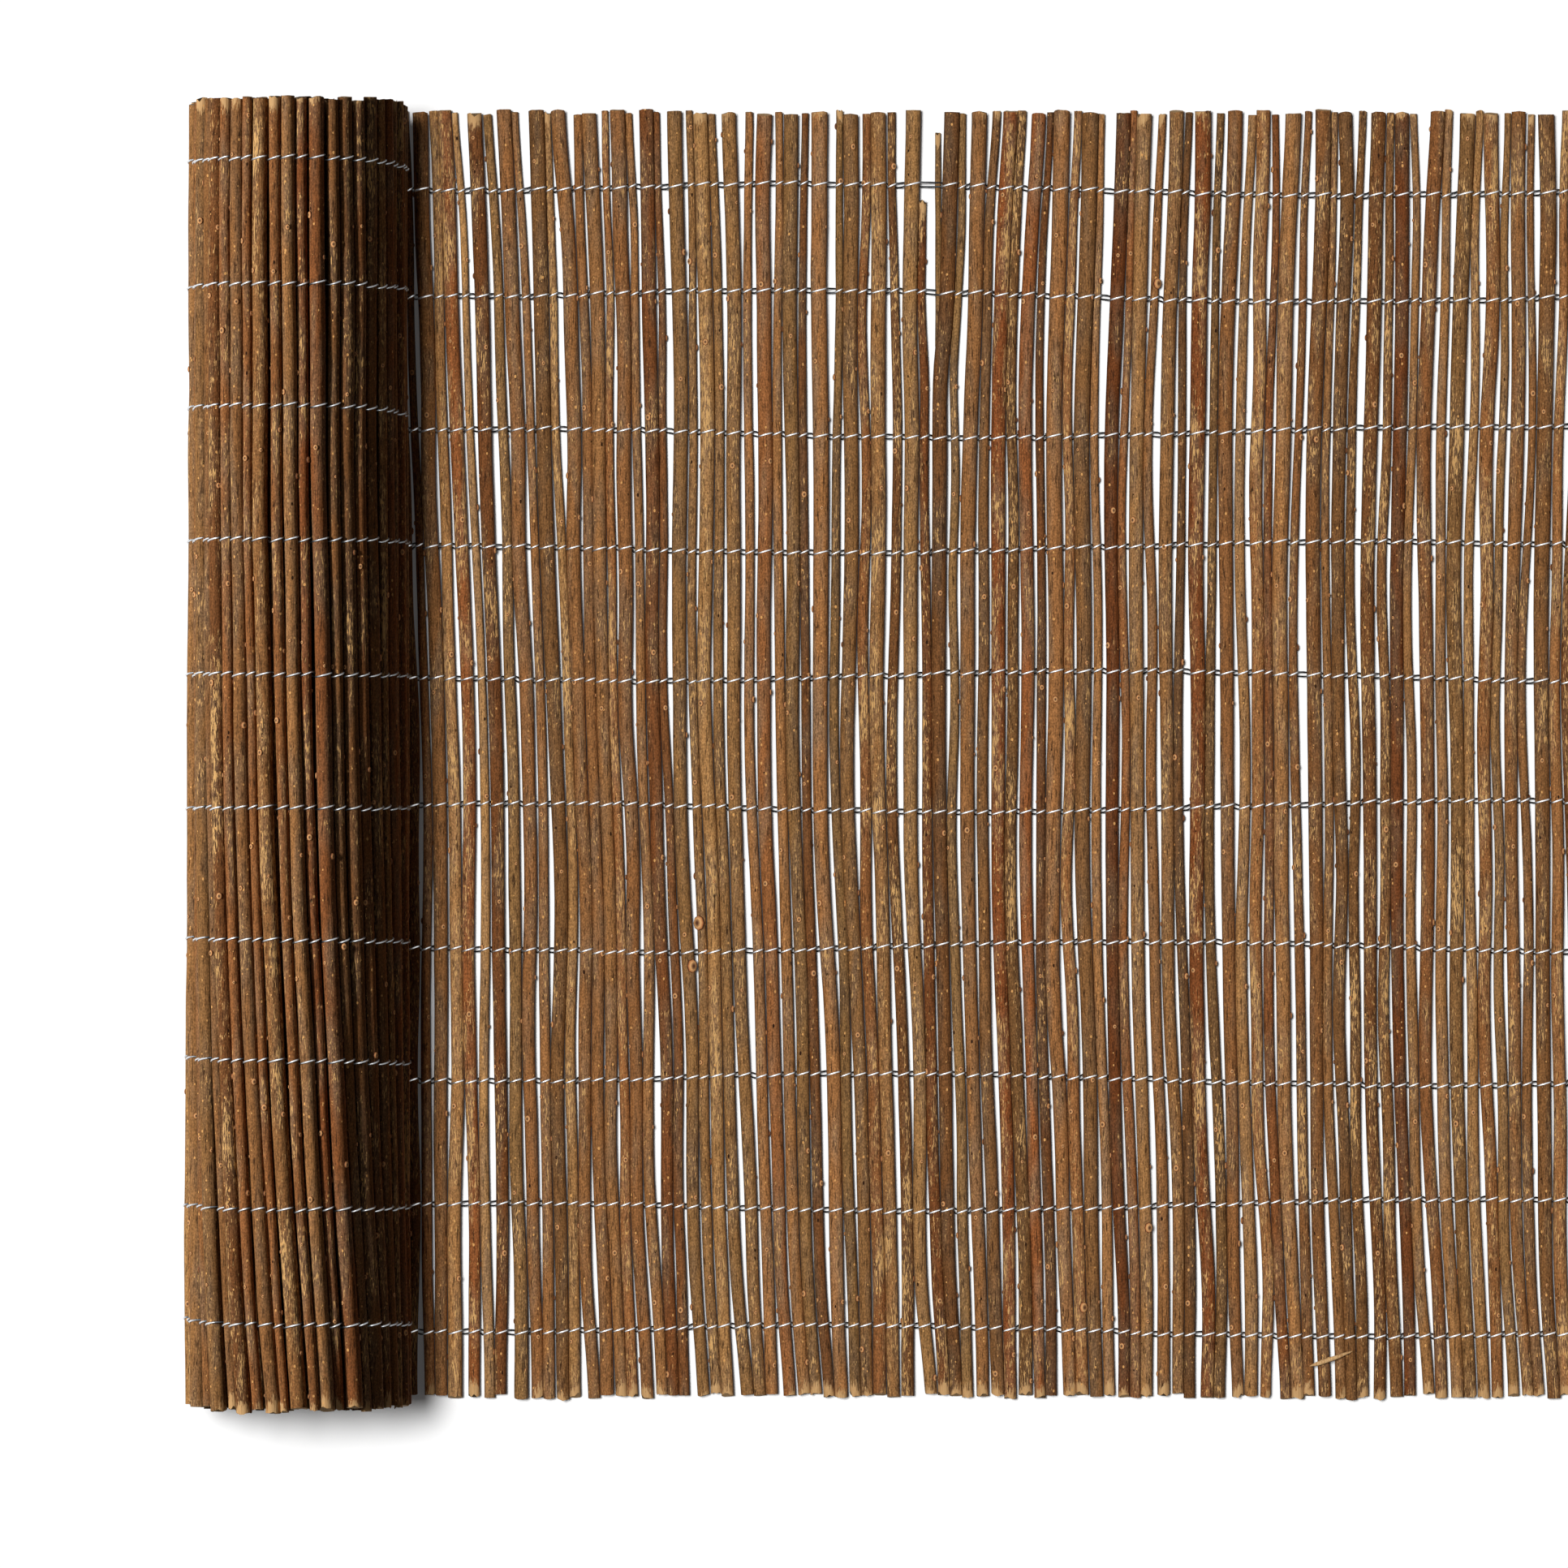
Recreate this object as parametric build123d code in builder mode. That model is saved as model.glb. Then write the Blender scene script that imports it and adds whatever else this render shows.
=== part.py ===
from build123d import *
import math
import os
import random

# Willow screen, partly unrolled: rods in bark, bound side by side by rows of two-strand wire.
# X runs along the screen away from the roll, Y along the rods, Z up from the floor.

# Screen, in millimetres
rod_length = 1000.0  # the screen's height when it stands
screen_length = 3000.0  # from the core of the roll to the free end
rod_pitch = 11.15  # rods along the screen, centre to centre

# Rods: coarse ones lie butt up and fine ones butt down, turn and turn about
coarse_butt = 11.6
coarse_tip = 9.4
fine_butt = 9.6
fine_tip = 6.0
thickness_spread = 0.06  # share by which rods of a kind differ
end_spread = 4.0  # how far a cut end may stand back from the edge
bark_press = 0.4  # how far rods that touch bed into each other's bark
rod_sides = 8

# Lie of the laid-out rods
skew = 24.0  # most that a rod leans where the screen comes off the roll
skew_place = 180.0  # how far from the roll that is
rod_seed = 11

# Broken rod, and its tip still caught in the wires
broken_rod = 43  # counted from the roll
break_depth = 71.0  # the stub ends this far below the top edge
break_opening = 8.0  # its neighbours have spread by this much
break_reach = 7.0  # over about this many rods
broken_tip_length = 166.0
broken_tip_set_back = 18.0
broken_tip_thick = 5.2
broken_tip_thin = 4.4

# Roll
roll_diameter = 172.5
core_radius = 12.0
turn_clearance = 0.6
rolled_coarse = 12.3  # thickness of the ridges that the rods make in the roll
rolled_fine = 10.7
rolled_web = 5.0  # where two rolled rods bed into each other
nip_clearance = 0.4  # between the last rolled rod and the first laid one

# Binding wire
wire_diameter = 1.4
wire_rows = 10
first_row = 62.0  # from the top edge
last_row = 52.0  # from the bottom edge
row_wander = (0.0, 16.0, 9.0, 18.0, 16.0, 14.0, 3.0, -1.0, 0.0, 1.0)  # off an even spacing
wire_tail = 4.0  # past the last rod
roll_wire_end = 325.0  # degrees round the roll from the floor
roll_row_shift = (14.0, 1.0, 14.0, 2.0, 0.0, -1.0, 8.0, 19.0, 4.0, 14.0)  # rows climb as they wind up

# Derived sizes
turn_pitch = rolled_coarse + turn_clearance
turn_radius = (roll_diameter + turn_pitch - rolled_coarse) / 2
roll_height = turn_radius + rolled_coarse / 2 + wire_diameter
rolled_length = math.pi * (turn_radius**2 - core_radius**2) / turn_pitch
laid_rods = round((screen_length - rolled_length) / rod_pitch)
first_rod = (rolled_fine - rod_pitch + coarse_butt * (1 + thickness_spread)) / 2 + nip_clearance
flat_turn = 180 / rod_sides  # turns a polygon so that a flat faces the floor
top_edge = rod_length / 2


def rod_section(x, y, diameter):
    """Cross-section of a rod that rests on the back strands."""
    with BuildSketch(Plane.XZ.offset(-y)) as section:
        with Locations((x, wire_diameter + diameter / 2)):
            RegularPolygon(diameter / 2, rod_sides, major_radius=False, rotation=flat_turn)
    return section.sketch


def willow_rod(bottom, top):
    """Tapered rod with flat sides between two ends, each given as x, y and diameter."""
    low, high = rod_section(*bottom), rod_section(*top)
    sides = []
    for here, there in zip(low.edges(), high.edges()):
        sides.append(Face(Wire.make_polygon([here @ 0, here @ 1, there @ 1, there @ 0])))
    return Solid(Shell([low.face(), high.face(), *sides]))


def pair_up(places, diameters, first):
    """Draw every second rod to the next one, so that their barks meet."""
    paired = list(places)
    for left in range(first, len(places) - 1, 2):
        middle = (places[left] + places[left + 1]) / 2
        apart = (diameters[left] + diameters[left + 1]) / 2 - bark_press
        paired[left] = middle - apart / 2
        paired[left + 1] = middle + apart / 2
    return paired


def lay_rods():
    """Both ends of every laid-out rod, from the roll to the free end."""
    chance = random.Random(rod_seed)
    top_places, bottom_places, top_sizes, bottom_sizes = [], [], [], []
    for number in range(laid_rods):
        x = first_rod + number * rod_pitch
        lean = skew * x / skew_place * math.exp(1 - x / skew_place)
        spread = 0.0
        if number > broken_rod:
            spread = break_opening * math.exp((broken_rod + 1 - number) / break_reach)
        size = 1 + thickness_spread * chance.uniform(-1, 1)
        coarse = number % 2 == 0
        top_places.append(x - lean / 2 + spread)
        bottom_places.append(x + lean / 2)
        top_sizes.append(size * (coarse_butt if coarse else fine_tip))
        bottom_sizes.append(size * (coarse_tip if coarse else fine_butt))
    top_places = pair_up(top_places, top_sizes, 0)
    bottom_places = pair_up(bottom_places, bottom_sizes, 1)
    ends = []
    for number in range(laid_rods):
        bottom_y = -top_edge + chance.uniform(0, end_spread)
        top_y = top_edge - chance.uniform(0, end_spread)
        bottom = (bottom_places[number], bottom_y, bottom_sizes[number])
        top = (top_places[number], top_y, top_sizes[number])
        if number == broken_rod:
            top = along((bottom, top), top_edge - break_depth)
        ends.append((bottom, top))
    return ends


def along(rod, y):
    """Place and diameter of a rod at a distance along it."""
    (x0, y0, d0), (x1, y1, d1) = rod
    share = (y - y0) / (y1 - y0)
    return (x0 + share * (x1 - x0), y, d0 + share * (d1 - d0))


def side_of(rod, y, way):
    """X of a rod's right (1) or left (-1) side at a distance along it."""
    x, _, diameter = along(rod, y)
    return x + way * diameter / 2


def spiral_radius(angle):
    return turn_radius - turn_pitch * angle / (2 * math.pi)


def rolled_angles():
    """Angle of each rod of the roll, from the floor inwards, a pitch apart along the spiral."""
    angle = rod_pitch / 2 / turn_radius
    angles = []
    while spiral_radius(angle) > core_radius:
        angles.append(angle)
        angle += rod_pitch / spiral_radius(angle)
    return angles


def from_axis(angle, reach, aside=0.0):
    """Point in the XZ plane at a reach from the roll's axis, and aside along the turn."""
    x = -reach * math.sin(angle) - aside * math.cos(angle)
    z = -reach * math.cos(angle) + aside * math.sin(angle)
    return (x, roll_height + z)


def ridge_line(angles, way):
    """Outer (1) or inner (-1) outline of the spiral: a flat on each rod and a valley to the next."""
    points = []
    for number, angle in enumerate(angles):
        size = rolled_coarse if number % 2 else rolled_fine
        half_flat = size / 2 * math.tan(math.pi / rod_sides)
        reach = spiral_radius(angle) + way * size / 2
        points.append(from_axis(angle, reach, -half_flat))
        points.append(from_axis(angle, reach, half_flat))
        if angle != angles[-1]:
            valley = (angle + angles[number + 1]) / 2
            points.append(from_axis(valley, spiral_radius(valley) + way * rolled_web / 2))
    return points


def corner(angle_a, reach_a, angle_b, reach_b):
    """Where two straight runs of wire meet, each given by the way it faces from the roll's axis."""
    turn = math.sin(angle_a - angle_b)
    x = (reach_b * math.cos(angle_a) - reach_a * math.cos(angle_b)) / turn
    z = (reach_a * math.sin(angle_b) - reach_b * math.sin(angle_a)) / turn
    return (x, roll_height + z)


def wire_line(angles, height):
    """Line of the wire round the roll, at a height over the coarse rods that it lies on."""
    reaches = [spiral_radius(angle) + rolled_coarse / 2 + height for angle in angles]
    points = [from_axis(angles[0], reaches[0])]
    for here in range(len(angles) - 1):
        points.append(corner(angles[here], reaches[here], angles[here + 1], reaches[here + 1]))
    points.append(from_axis(angles[-1], reaches[-1]))
    return points


rods = lay_rods()
roll_angles = rolled_angles()
row_step = (rod_length - first_row - last_row) / (wire_rows - 1)
row_places = []
for row in range(wire_rows):
    row_places.append(top_edge - first_row - row * row_step + row_wander[row % len(row_wander)])
free_end = max(end[0] + end[2] / 2 for rod in rods for end in rod) + wire_tail

# Wire round the roll: on the floor at first, then over each coarse rod of the outer turn
wire_angles = [0.0] + [angle for angle in roll_angles[1::2] if angle < math.radians(roll_wire_end)]
wire_outside = wire_line(wire_angles, wire_diameter)
wire_inside = wire_line(wire_angles, 0.0)
under_roll = turn_radius + rolled_coarse / 2 - turn_pitch * roll_wire_end / 360

# The origin lies on the floor at the middle of the whole screen
roll_edge = min(x for x, z in wire_outside)
to_middle = Location((-(roll_edge + free_end) / 2, 0, 0))

# Laid-out rods, one wall of tapered ridges with a gap between each pair
with BuildPart() as laid_out_mat:
    add([willow_rod(*rod) for rod in rods])

# Broken tip, in the gap beside the stub that it came off
tip_top = top_edge - broken_tip_set_back
tip_foot = tip_top - broken_tip_length
stub_side = side_of(rods[broken_rod], tip_foot, 1)
tip_apart = (side_of(rods[broken_rod + 1], tip_foot, -1) - stub_side) / 2
with BuildPart() as broken_tip:
    foot = (side_of(rods[broken_rod + 1], tip_foot, -1) - tip_apart, tip_foot, broken_tip_thick)
    head = (side_of(rods[broken_rod + 1], tip_top, -1) - tip_apart, tip_top, broken_tip_thin)
    add(willow_rod(foot, head))

# Rolled-up rods, one spiral of ridges
with BuildPart() as rolled_turns:
    with BuildSketch(Plane.XZ):
        with BuildLine():
            outside = ridge_line(roll_angles, 1)
            inside = ridge_line(roll_angles, -1)
            Polyline(*outside, *reversed(inside), close=True)
        make_face()
    extrude(amount=rod_length / 2, both=True)

pieces = {
    "laid_out_mat": laid_out_mat.part,
    "broken_tip": broken_tip.part,
    "rolled_turns": rolled_turns.part,
}

# Binding wire, row by row: round the roll, then a loop under and over the laid-out rods,
# with a step on the floor up to the height at which the row goes round the roll
for row, y in enumerate(row_places):
    roll_y = y + roll_row_shift[row % len(roll_row_shift)]
    with BuildPart() as roll_wire:
        with BuildSketch(Plane.XZ.offset(-roll_y)):
            with BuildLine():
                Polyline(*wire_inside, *reversed(wire_outside), close=True)
            make_face()
        extrude(amount=wire_diameter / 2, both=True)
    pieces[f"roll_wire_{row + 1:02d}"] = roll_wire.part

    rod_tops = wire_diameter + max(along(rod, y)[2] for rod in rods)
    wire_top = rod_tops + wire_diameter
    nip = math.sqrt(under_roll**2 - (roll_height - wire_top - nip_clearance) ** 2)
    bend = free_end - wire_diameter
    with BuildPart() as mat_wire:
        with BuildSketch(Plane.XZ.offset(-y)):
            with BuildLine():
                Polyline(
                    (0, 0),
                    (free_end, 0),
                    (free_end, wire_top),
                    (nip, wire_top),
                    (nip, rod_tops),
                    (bend, rod_tops),
                    (bend, wire_diameter),
                    (0, wire_diameter),
                    close=True,
                )
            make_face()
        extrude(amount=wire_diameter / 2, both=True)
        with BuildSketch(Plane.XY):
            with Locations((wire_diameter / 2, (y + roll_y) / 2)):
                Rectangle(wire_diameter, abs(roll_y - y) + wire_diameter)
        extrude(amount=wire_diameter)
    pieces[f"mat_wire_{row + 1:02d}"] = mat_wire.part

os.makedirs("parts", exist_ok=True)
for name, piece in pieces.items():
    placed = piece.moved(to_middle)
    placed.label = name
    export_step(placed, f"parts/{name}.step")
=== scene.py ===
import bpy
import math
import random
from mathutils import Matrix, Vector


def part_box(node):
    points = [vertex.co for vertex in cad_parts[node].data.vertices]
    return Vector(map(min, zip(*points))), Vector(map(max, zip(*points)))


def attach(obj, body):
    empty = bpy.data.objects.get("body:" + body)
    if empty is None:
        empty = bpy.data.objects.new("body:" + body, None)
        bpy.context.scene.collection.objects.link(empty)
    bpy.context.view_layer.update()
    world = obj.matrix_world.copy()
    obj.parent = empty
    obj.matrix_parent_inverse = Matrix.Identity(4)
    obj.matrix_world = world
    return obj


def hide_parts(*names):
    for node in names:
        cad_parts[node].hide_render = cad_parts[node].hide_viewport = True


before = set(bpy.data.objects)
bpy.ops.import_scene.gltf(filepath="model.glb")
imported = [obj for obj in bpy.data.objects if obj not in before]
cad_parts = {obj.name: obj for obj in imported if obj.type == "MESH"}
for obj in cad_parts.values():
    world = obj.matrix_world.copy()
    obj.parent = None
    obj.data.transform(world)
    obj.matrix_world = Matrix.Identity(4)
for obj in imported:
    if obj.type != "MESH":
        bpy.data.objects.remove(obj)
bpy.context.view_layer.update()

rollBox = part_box("rolled_turns")
print("frame loaded,", len(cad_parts), "nodes")


# Where things in the picture lie on the floor
picture = {
    "metresPerPixel": 0.00063,
    "rollContactX": 379.5,  # pixel column of the line where the roll touches the floor
    "matMiddleY": 929.5,  # pixel row of the rods' middle
    "frameSize": 1932,
    "cameraHeight": 7.3,
}
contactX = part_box("mat_wire_01")[0].x  # the same line in the model
wholeTurn = 6.28  # radians, near enough for waves and random angles


def fromPicture(column, row):
    x = contactX + (column - picture["rollContactX"]) * picture["metresPerPixel"]
    y = (picture["matMiddleY"] - row) * picture["metresPerPixel"]
    return x, y


# Colour and node helpers

def linear(hexCode):
    channels = [int(hexCode[k:k + 2], 16) / 255 for k in (1, 3, 5)]
    return tuple(c / 12.92 if c <= 0.04045 else ((c + 0.055) / 1.055) ** 2.4 for c in channels) + (1.0,)


def addNode(tree, kind, inputs=None, **settings):
    node = tree.nodes.new(kind)
    for name, value in settings.items():
        setattr(node, name, value)
    for key, value in (inputs or {}).items():
        if isinstance(value, bpy.types.NodeSocket):
            tree.links.new(value, node.inputs[key])
        else:
            node.inputs[key].default_value = value
    return node


def newMaterial(name):
    material = bpy.data.materials.new(name)
    material.use_nodes = True
    material.node_tree.nodes.clear()
    return material, material.node_tree


# Willow bark, dried on the rod: matt, streaked along the grain, scuffed through to tan
# bast in places and dotted with pale lenticels.

bark = {
    "chestnut": "#7a4524",  # redder rods
    "khaki": "#967044",  # paler rods
    "greyed": "#755c45",  # weathered stretches
    "shade": "#2c1a0f",  # grooves and pits
    "scuff": "#d2a468",  # bast under rubbed bark
    "lenticel": "#d09a5c",
    "mottleMm": (3.2, 42.0),  # across and along
    "grainMm": (1.1, 13.0),
    "cloudMm": (12.0, 70.0),
    "scuffMm": (0.9, 7.0),
    "speckMm": (1.0, 1.6),
    "lenticelMm": (3.6, 5.2),
    "pitMm": (7.0, 13.0),
    "reliefMm": 0.6,
    "weather": (0.42, 0.66, 0.7),  # noise from, noise to, most greyed
    "toneValue": (0.62, 1.36),  # darkest and palest rod
    "mottleValue": (0.84, 1.14),
    "speckValue": (0.74, 1.4),
    "groove": (0.47, 0.32, 0.85),  # noise from, noise to, darkest
    "pitSize": 0.13,  # share of a cell
    "rubbed": (0.94, 0.98, 0.9),  # level from, level to, barest
    "torn": (0.70, 0.80),  # level from, level to
    "lenticelSize": 0.24,  # share of a cell
    "roughness": 0.75,
    "sheen": 0.04,
}

# Bare willow wood at sawn and torn ends
cutWood = {"wood": "#d3ae7c", "fibre": "#a37546", "fibreMm": (0.9, 7.0), "fibreShare": (0.38, 0.68)}


def stretched(tree, coords, sizeMm):
    across, along = (1000 / size for size in sizeMm)
    mapping = addNode(tree, "ShaderNodeMapping", {"Vector": coords, "Scale": (across, along, across)})
    return mapping.outputs[0]


def spread(tree, value, start, end, least=0.0, most=1.0):
    return addNode(tree, "ShaderNodeMapRange", {
        "Value": value, "From Min": start, "From Max": end, "To Min": least, "To Max": most}).outputs[0]


def blend(tree, share, first, second):
    mix = addNode(tree, "ShaderNodeMix", {"Factor": share, "A": first, "B": second}, data_type="RGBA")
    return mix.outputs[2]


def reckon(tree, operation, *values):
    return addNode(tree, "ShaderNodeMath", dict(enumerate(values)), operation=operation).outputs[0]


def stored(tree, name):
    return addNode(tree, "ShaderNodeAttribute", attribute_name=name).outputs["Fac"]


def willowBark():
    material, tree = newMaterial("willow bark, dried on the rod")
    coords = addNode(tree, "ShaderNodeTexCoord").outputs["Object"]

    noises = {}
    for name, detail in (("mottle", 2.0), ("grain", 2.0), ("cloud", 1.0), ("scuff", 2.0), ("speck", 0.0)):
        place = stretched(tree, coords, bark[name + "Mm"])
        noise = addNode(tree, "ShaderNodeTexNoise", {
            "Vector": place, "Scale": 1.0, "Detail": detail, "Roughness": 0.62})
        noises[name] = noise.outputs["Fac"]
    dots, pits = (addNode(tree, "ShaderNodeTexVoronoi", {
        "Vector": stretched(tree, coords, bark[name]), "Scale": 1.0}) for name in ("lenticelMm", "pitMm"))

    # Kind and weathering give each rod its own colour
    kindColour = blend(tree, stored(tree, "rodKind"), linear(bark["chestnut"]), linear(bark["khaki"]))
    start, end, most = bark["weather"]
    weather = spread(tree, noises["cloud"], start, end, most=most)
    rodColour = blend(tree, weather, kindColour, linear(bark["greyed"]))
    toneValue = spread(tree, stored(tree, "rodTone"), 0.0, 1.0, *bark["toneValue"])
    mottle = spread(tree, noises["mottle"], 0.3, 0.7, *bark["mottleValue"])
    speck = spread(tree, noises["speck"], 0.3, 0.75, *bark["speckValue"])
    value = reckon(tree, "MULTIPLY", reckon(tree, "MULTIPLY", toneValue, mottle), speck)
    toned = addNode(tree, "ShaderNodeHueSaturation", {"Color": rodColour, "Value": value}).outputs[0]

    # Dark grain lines and pits
    start, end, most = bark["groove"]
    groove = spread(tree, noises["grain"], start, end, most=most)
    pickedPit = addNode(tree, "ShaderNodeSeparateColor", {"Color": pits.outputs["Color"]})
    pitSize = spread(tree, pickedPit.outputs[0], 0.5, 1.0, most=bark["pitSize"])
    pit = reckon(tree, "LESS_THAN", pits.outputs["Distance"], pitSize)
    grained = blend(tree, reckon(tree, "MAXIMUM", groove, pit), toned, linear(bark["shade"]))

    # Rubbed streaks, in patches and more on worn rods
    patch = reckon(tree, "MULTIPLY_ADD", noises["cloud"], 0.5, stored(tree, "rodWorn"))
    start, end, most = bark["rubbed"]
    rubbed = spread(tree, reckon(tree, "ADD", noises["scuff"], patch), start, end, most=most)
    scuffed = blend(tree, rubbed, grained, linear(bark["scuff"]))

    # Bark torn off at the ends, in ragged strips
    tornLevel = reckon(tree, "MULTIPLY_ADD", noises["scuff"], 0.9, stored(tree, "rodTorn"))
    wood = blend(tree, noises["grain"], linear(cutWood["wood"]), linear(cutWood["fibre"]))
    stripped = blend(tree, spread(tree, tornLevel, *bark["torn"]), scuffed, wood)

    # Lenticels, in some cells only
    picked = addNode(tree, "ShaderNodeSeparateColor", {"Color": dots.outputs["Color"]})
    size = spread(tree, picked.outputs[0], 0.5, 1.0, most=bark["lenticelSize"])
    dot = reckon(tree, "LESS_THAN", dots.outputs["Distance"], size)
    dotted = blend(tree, dot, stripped, linear(bark["lenticel"]))

    # Relief along the grain
    bump = addNode(tree, "ShaderNodeBump", {
        "Strength": 0.6, "Distance": bark["reliefMm"] / 1000, "Height": noises["grain"]})

    shader = addNode(tree, "ShaderNodeBsdfPrincipled", {
        "Base Color": dotted, "Roughness": bark["roughness"], "Specular IOR Level": bark["sheen"],
        "Normal": bump.outputs[0]})
    addNode(tree, "ShaderNodeOutputMaterial", {"Surface": shader.outputs[0]})
    return material


# Willow wood where a rod is sawn through: pale cream, fibrous along the rod.

def tornWillow():
    material, tree = newMaterial("willow wood, sawn and torn")
    coords = addNode(tree, "ShaderNodeTexCoord").outputs["Object"]
    fibre = addNode(tree, "ShaderNodeTexNoise", {
        "Vector": stretched(tree, coords, cutWood["fibreMm"]), "Scale": 1.0, "Detail": 3.0})
    share = spread(tree, fibre.outputs["Fac"], *cutWood["fibreShare"])
    colour = blend(tree, share, linear(cutWood["wood"]), linear(cutWood["fibre"]))
    bump = addNode(tree, "ShaderNodeBump", {
        "Strength": 0.5, "Distance": 0.0004, "Height": fibre.outputs["Fac"]})
    shader = addNode(tree, "ShaderNodeBsdfPrincipled", {
        "Base Color": colour, "Roughness": 0.8, "Specular IOR Level": 0.3, "Normal": bump.outputs[0]})
    addNode(tree, "ShaderNodeOutputMaterial", {"Surface": shader.outputs[0]})
    return material


# Bud scars: corky tan lips round a dark eye.

budColours = {"foot": "#4f2c17", "lip": "#a8673a", "rim": "#d8a36a", "eye": "#4f2c17"}


def budCork():
    material, tree = newMaterial("willow bud scar, corky bark")
    colour = addNode(tree, "ShaderNodeValToRGB", {"Fac": stored(tree, "budCrown")})
    steps = colour.color_ramp.elements
    steps[0].position, steps[0].color = 0.12, linear(budColours["foot"])
    steps[1].position, steps[1].color = 0.95, linear(budColours["eye"])
    for place, name in ((0.4, "lip"), (0.8, "rim")):
        steps.new(place).color = linear(budColours[name])
    shader = addNode(tree, "ShaderNodeBsdfPrincipled", {
        "Base Color": colour.outputs[0], "Roughness": 0.8, "Specular IOR Level": 0.3})
    addNode(tree, "ShaderNodeOutputMaterial", {"Surface": shader.outputs[0]})
    return material


# Galvanised binding wire: drawn steel under a zinc coat, bright along its crown, with painted shade where
# the strands twist between rods, at a rod's flanks and on the roll's right side.

wireFinish = {
    "zinc": "#f4f5f6",
    "dullAndShade": "#c8ccd0",
    # painted shade where the strands twist between rods, at a rod's flanks and on the roll's right side
    "twist": "#2b2e31",
    "spangleMm": (2.4, 2.4),
    "roughness": (0.34, 0.5),
}


def galvanisedWire():
    material, tree = newMaterial("galvanised steel wire, drawn")
    coords = addNode(tree, "ShaderNodeTexCoord").outputs["Object"]
    spangle = addNode(tree, "ShaderNodeTexNoise", {
        "Vector": stretched(tree, coords, wireFinish["spangleMm"]), "Scale": 1.0, "Detail": 2.0})
    colour = blend(tree, spangle.outputs["Fac"], linear(wireFinish["zinc"]), linear(wireFinish["dullAndShade"]))
    # painted shade: darker by the wire's shade attribute
    paintedShadeColour = blend(tree, stored(tree, "wirePaintedShade"), colour, linear(wireFinish["twist"]))
    rough = spread(tree, spangle.outputs["Fac"], 0.3, 0.7, *wireFinish["roughness"])
    shader = addNode(tree, "ShaderNodeBsdfPrincipled", {
        "Base Color": paintedShadeColour, "Metallic": 1.0, "Roughness": rough})
    addNode(tree, "ShaderNodeOutputMaterial", {"Surface": shader.outputs[0]})
    return material


barkMaterial = willowBark()
woodMaterial = tornWillow()
budMaterial = budCork()
wireMaterial = galvanisedWire()
print("materials made")


# Geometry Nodes trees

def newTree(name, sockets):
    tree = bpy.data.node_groups.new(name, "GeometryNodeTree")
    for socketName, socketType in sockets.items():
        tree.interface.new_socket(socketName, in_out="INPUT", socket_type="NodeSocket" + socketType)
    tree.interface.new_socket("Mesh", in_out="OUTPUT", socket_type="NodeSocketGeometry")
    return tree, addNode(tree, "NodeGroupInput").outputs


def closeTree(tree, mesh, material):
    smooth = addNode(tree, "GeometryNodeSetShadeSmooth", {"Geometry": mesh})
    real = addNode(tree, "GeometryNodeRealizeInstances", {"Geometry": smooth.outputs[0]})
    dressed = addNode(tree, "GeometryNodeSetMaterial", {"Geometry": real.outputs[0], "Material": material})
    addNode(tree, "NodeGroupOutput", {0: dressed.outputs[0]})


def rodTree():
    tree, given = newTree("willow rod sweep", {
        "Axes": "Geometry", "Sides": "Int", "Lump Height": "Float", "Lump Size": "Vector",
        "Bark": "Material"})
    curve = addNode(tree, "GeometryNodeMeshToCurve", {"Mesh": given["Axes"]})
    radius = addNode(tree, "GeometryNodeInputNamedAttribute", {"Name": "rodRadius"}, data_type="FLOAT")
    ring = addNode(tree, "GeometryNodeCurvePrimitiveCircle", {"Resolution": given["Sides"], "Radius": 1.0})
    sweep = addNode(tree, "GeometryNodeCurveToMesh", {
        "Curve": curve.outputs[0], "Profile Curve": ring.outputs[0], "Scale": radius.outputs[0],
        "Fill Caps": True})
    place = addNode(tree, "GeometryNodeInputPosition")
    shrunk = addNode(tree, "ShaderNodeVectorMath", {
        0: place.outputs[0], 1: given["Lump Size"]}, operation="DIVIDE")
    lumps = addNode(tree, "ShaderNodeTexNoise", {"Vector": shrunk.outputs[0], "Scale": 1.0, "Detail": 1.0})
    centred = spread(tree, lumps.outputs["Fac"], 0.25, 0.75, -1.0, 1.0)
    height = reckon(tree, "MULTIPLY", centred, given["Lump Height"])
    outward = addNode(tree, "GeometryNodeInputNormal")
    offset = addNode(tree, "ShaderNodeVectorMath", {
        0: outward.outputs[0], "Scale": height}, operation="SCALE")
    lumpy = addNode(tree, "GeometryNodeSetPosition", {
        "Geometry": sweep.outputs[0], "Offset": offset.outputs[0]})
    closeTree(tree, lumpy.outputs[0], given["Bark"])
    return tree


def wireTree():
    tree, given = newTree("binding wire sweep", {
        "Strands": "Geometry", "Sides": "Int", "Wire Diameter": "Float", "Zinc": "Material"})
    curve = addNode(tree, "GeometryNodeMeshToCurve", {"Mesh": given["Strands"]})
    half = reckon(tree, "MULTIPLY", given["Wire Diameter"], 0.5)
    ring = addNode(tree, "GeometryNodeCurvePrimitiveCircle", {"Resolution": given["Sides"], "Radius": half})
    sweep = addNode(tree, "GeometryNodeCurveToMesh", {
        "Curve": curve.outputs[0], "Profile Curve": ring.outputs[0], "Scale": 1.0, "Fill Caps": True})
    closeTree(tree, sweep.outputs[0], given["Zinc"])
    return tree


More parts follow.
